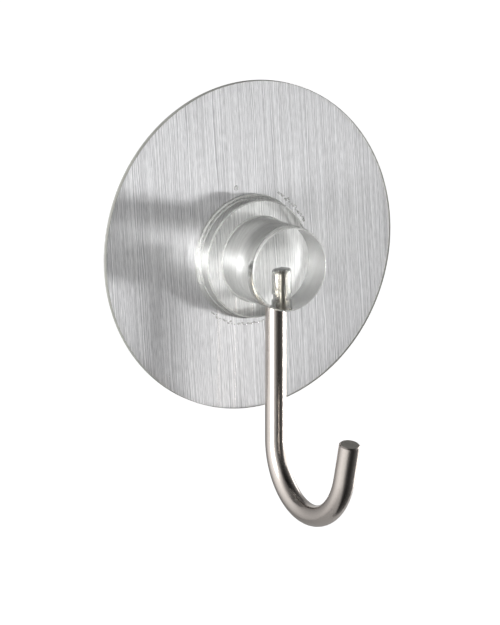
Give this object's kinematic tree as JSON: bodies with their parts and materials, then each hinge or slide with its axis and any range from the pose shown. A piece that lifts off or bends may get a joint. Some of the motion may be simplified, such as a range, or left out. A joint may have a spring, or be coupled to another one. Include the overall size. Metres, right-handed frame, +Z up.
{
  "type": "adhesive wall hook",
  "caption": "Thin round stick-on disc with a brushed face, a clear moulded boss and a plated wire J-hook that turns in it, for hanging towels, utensils or keys.",
  "frame": {"origin": "centre of the disc's sticky back face, on the wall", "axes": "+Z up, +Y into the wall, the front of the hook faces -Y"},
  "size_m": [0.062, 0.0378, 0.0801],
  "materials": {
    "adhesive": "clear tacky gel",
    "brushed_face": "brushed in one direction, satin",
    "clear_film": "clear, smooth",
    "clear_plastic": "clear, moulded, polished",
    "plated_wire": "nickel plated, drawn wire"
  },
  "bodies": {
    "base": {"adhesive_pad": "adhesive", "brushed_foil": "brushed_face", "cover_film": "clear_film", "boss": "clear_plastic"},
    "hook": {"wire_hook": "plated_wire"}
  },
  "joints": [
    {"name": "hook_swivel", "type": "hinge", "parent": "base", "child": "hook", "pos_m": [0, -0.0101, -0.0101], "axis": [0, 0, 1], "range_deg": [-90, 90]}
  ]
}
